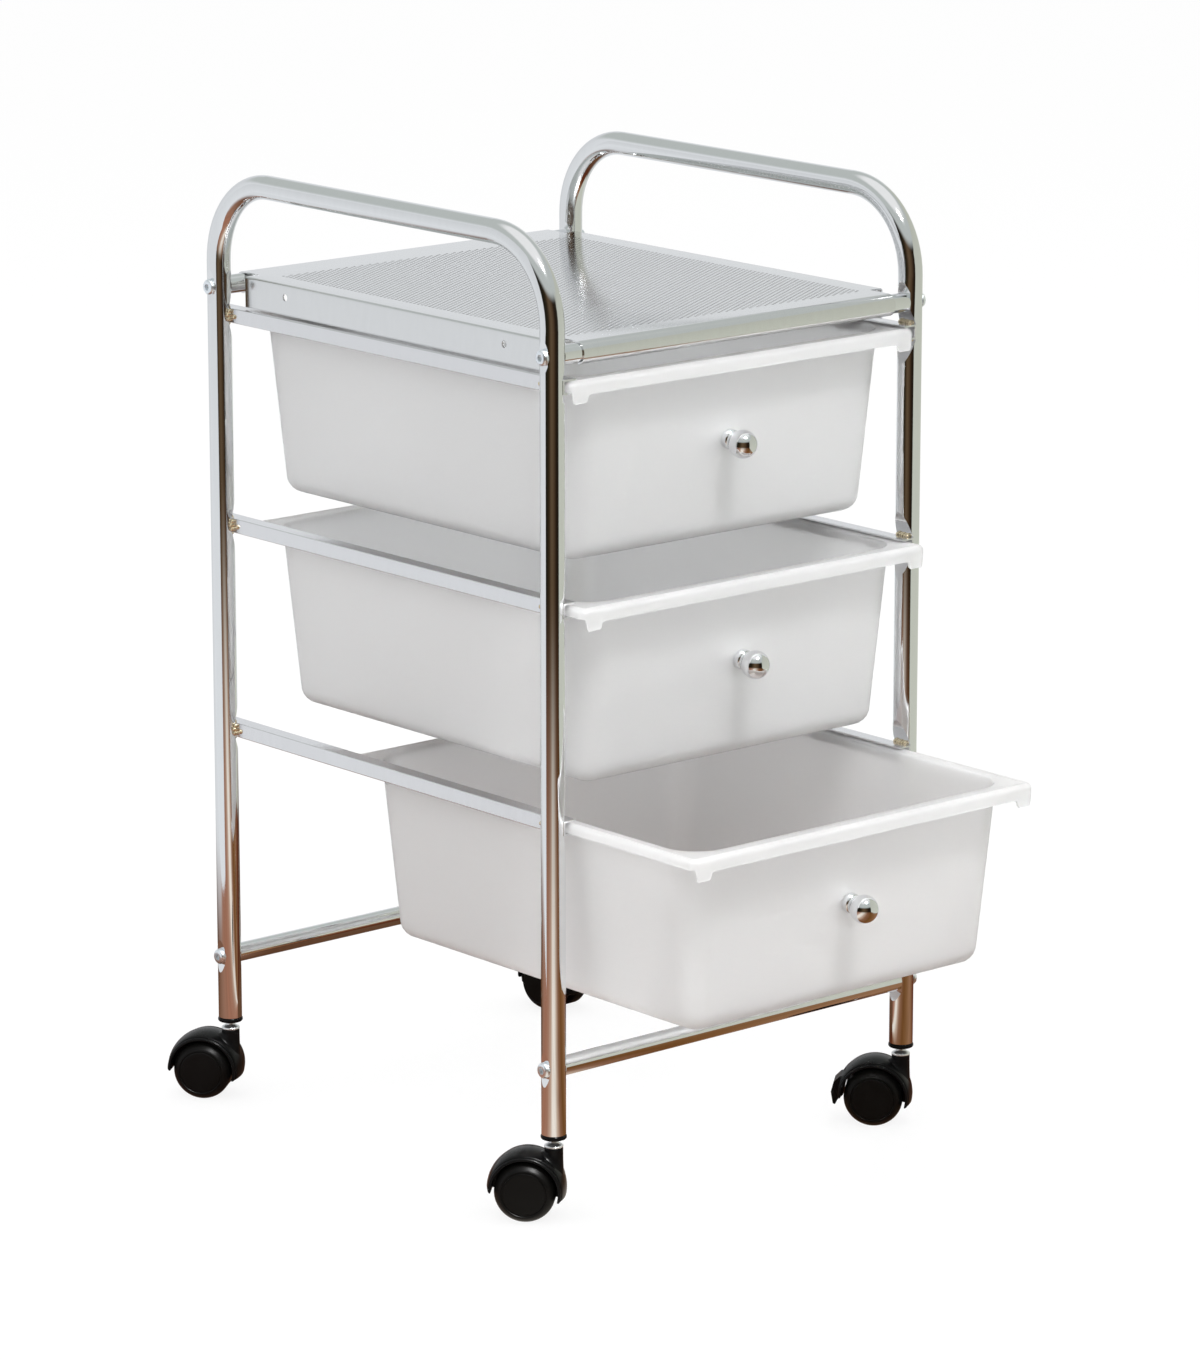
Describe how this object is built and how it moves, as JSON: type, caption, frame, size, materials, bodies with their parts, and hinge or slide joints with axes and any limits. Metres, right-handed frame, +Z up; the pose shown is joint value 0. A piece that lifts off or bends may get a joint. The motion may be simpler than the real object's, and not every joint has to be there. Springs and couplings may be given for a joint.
{
  "type": "rolling storage cart",
  "caption": "Wheeled cart with chromed tube side frames, a perforated top shelf, translucent pull-out drawers with ball knobs and twin-wheel casters.",
  "frame": {"origin": "on the floor, midway between the four legs", "axes": "+Z up, -Y towards the knobs, +X to the right when the knobs are seen"},
  "size_m": [0.3639, 0.529, 0.6429],
  "materials": {
    "chromed_tube": "mirror chrome",
    "weld_metal": "chromed weld bead with a gold tint",
    "zinc_steel": "bright zinc",
    "chromed_sheet": "chromed sheet with fine round perforations",
    "frosted_polypropylene": "frosted translucent white",
    "chromed_knob": "mirror chrome",
    "chromed_stem": "bright plating",
    "black_nylon": "gloss black",
    "black_wheel_nylon": "satin black with fine grain"
  },
  "bodies": {
    "cart_frame": {"left_side_frame": "chromed_tube", "right_side_frame": "chromed_tube", "left_top_rail": "chromed_tube", "right_top_rail": "chromed_tube", "top_rail_welds": "weld_metal", "left_middle_rail": "chromed_tube", "right_middle_rail": "chromed_tube", "middle_rail_welds": "weld_metal", "left_bottom_rail": "chromed_tube", "right_bottom_rail": "chromed_tube", "bottom_rail_welds": "weld_metal", "front_top_cross_tube": "chromed_tube", "rear_top_cross_tube": "chromed_tube", "front_bottom_cross_tube": "chromed_tube", "rear_bottom_cross_tube": "chromed_tube", "threaded_inserts": "zinc_steel", "frame_bolts": "zinc_steel", "top_shelf": "chromed_sheet", "front_left_leg_plug": "black_nylon", "front_right_leg_plug": "black_nylon", "rear_left_leg_plug": "black_nylon", "rear_right_leg_plug": "black_nylon"},
    "top_drawer": {"top_drawer": "frosted_polypropylene", "top_knob": "chromed_knob", "top_knob_screw": "zinc_steel"},
    "middle_drawer": {"middle_drawer": "frosted_polypropylene", "middle_knob": "chromed_knob", "middle_knob_screw": "zinc_steel"},
    "bottom_drawer": {"bottom_drawer": "frosted_polypropylene", "bottom_knob": "chromed_knob", "bottom_knob_screw": "zinc_steel"},
    "front_left_caster": {"front_left_caster_stem": "chromed_stem", "front_left_caster_hood": "black_nylon", "front_left_caster_axle": "zinc_steel"},
    "front_left_inner_wheel": {"front_left_inner_wheel": "black_wheel_nylon"},
    "front_left_outer_wheel": {"front_left_outer_wheel": "black_wheel_nylon"},
    "front_right_caster": {"front_right_caster_stem": "chromed_stem", "front_right_caster_hood": "black_nylon", "front_right_caster_axle": "zinc_steel"},
    "front_right_inner_wheel": {"front_right_inner_wheel": "black_wheel_nylon"},
    "front_right_outer_wheel": {"front_right_outer_wheel": "black_wheel_nylon"},
    "front_right_brake_lever": {"front_right_brake_lever": "black_nylon"},
    "rear_left_caster": {"rear_left_caster_stem": "chromed_stem", "rear_left_caster_hood": "black_nylon", "rear_left_caster_axle": "zinc_steel"},
    "rear_left_inner_wheel": {"rear_left_inner_wheel": "black_wheel_nylon"},
    "rear_left_outer_wheel": {"rear_left_outer_wheel": "black_wheel_nylon"},
    "rear_right_caster": {"rear_right_caster_stem": "chromed_stem", "rear_right_caster_hood": "black_nylon", "rear_right_caster_axle": "zinc_steel"},
    "rear_right_inner_wheel": {"rear_right_inner_wheel": "black_wheel_nylon"},
    "rear_right_outer_wheel": {"rear_right_outer_wheel": "black_wheel_nylon"},
    "rear_right_brake_lever": {"rear_right_brake_lever": "black_nylon"}
  },
  "joints": [
    {"name": "top_drawer_slide", "type": "slide", "parent": "cart_frame", "child": "top_drawer", "axis": [0, -1, 0], "range_m": [0, 0.23]},
    {"name": "middle_drawer_slide", "type": "slide", "parent": "cart_frame", "child": "middle_drawer", "axis": [0, -1, 0], "range_m": [-0.0132, 0.2168]},
    {"name": "bottom_drawer_slide", "type": "slide", "parent": "cart_frame", "child": "bottom_drawer", "axis": [0, -1, 0], "range_m": [-0.1175, 0.1125]},
    {"name": "front_left_swivel", "type": "hinge", "parent": "cart_frame", "child": "front_left_caster", "pos_m": [-0.1535, -0.1715, 0.05], "axis": [0, 0, 1], "continuous": true},
    {"name": "front_left_inner_wheel_spin", "type": "hinge", "parent": "front_left_caster", "child": "front_left_inner_wheel", "pos_m": [-0.16543, -0.1587, 0.02], "axis": [-0.7314, -0.682, 0], "continuous": true},
    {"name": "front_left_outer_wheel_spin", "type": "hinge", "parent": "front_left_caster", "child": "front_left_outer_wheel", "pos_m": [-0.16543, -0.1587, 0.02], "axis": [-0.7314, -0.682, 0], "continuous": true},
    {"name": "front_right_swivel", "type": "hinge", "parent": "cart_frame", "child": "front_right_caster", "pos_m": [0.1535, -0.1715, 0.05], "axis": [0, 0, 1], "continuous": true},
    {"name": "front_right_inner_wheel_spin", "type": "hinge", "parent": "front_right_caster", "child": "front_right_inner_wheel", "pos_m": [0.14179, -0.15849, 0.02], "axis": [-0.7431, -0.6691, 0], "continuous": true},
    {"name": "front_right_outer_wheel_spin", "type": "hinge", "parent": "front_right_caster", "child": "front_right_outer_wheel", "pos_m": [0.14179, -0.15849, 0.02], "axis": [-0.7431, -0.6691, 0], "continuous": true},
    {"name": "front_right_brake_lever_tilt", "type": "hinge", "parent": "front_right_caster", "child": "front_right_brake_lever", "pos_m": [0.12834, -0.14356, 0.0303], "axis": [0.7431, 0.6691, 0], "range_deg": [0, 20]},
    {"name": "rear_left_swivel", "type": "hinge", "parent": "cart_frame", "child": "rear_left_caster", "pos_m": [-0.1535, 0.1715, 0.05], "axis": [0, 0, 1], "continuous": true},
    {"name": "rear_left_inner_wheel_spin", "type": "hinge", "parent": "rear_left_caster", "child": "rear_left_inner_wheel", "pos_m": [-0.16451, 0.1851, 0.02], "axis": [-0.7771, -0.6293, 0], "continuous": true},
    {"name": "rear_left_outer_wheel_spin", "type": "hinge", "parent": "rear_left_caster", "child": "rear_left_outer_wheel", "pos_m": [-0.16451, 0.1851, 0.02], "axis": [-0.7771, -0.6293, 0], "continuous": true},
    {"name": "rear_right_swivel", "type": "hinge", "parent": "cart_frame", "child": "rear_right_caster", "pos_m": [0.1535, 0.1715, 0.05], "axis": [0, 0, 1], "continuous": true},
    {"name": "rear_right_inner_wheel_spin", "type": "hinge", "parent": "rear_right_caster", "child": "rear_right_inner_wheel", "pos_m": [0.15289, 0.18899, 0.02], "axis": [-0.9994, -0.0349, 0], "continuous": true},
    {"name": "rear_right_outer_wheel_spin", "type": "hinge", "parent": "rear_right_caster", "child": "rear_right_outer_wheel", "pos_m": [0.15289, 0.18899, 0.02], "axis": [-0.9994, -0.0349, 0], "continuous": true},
    {"name": "rear_right_brake_lever_tilt", "type": "hinge", "parent": "rear_right_caster", "child": "rear_right_brake_lever", "pos_m": [0.15219, 0.20908, 0.0303], "axis": [0.9994, 0.0349, 0], "range_deg": [0, 20]}
  ]
}
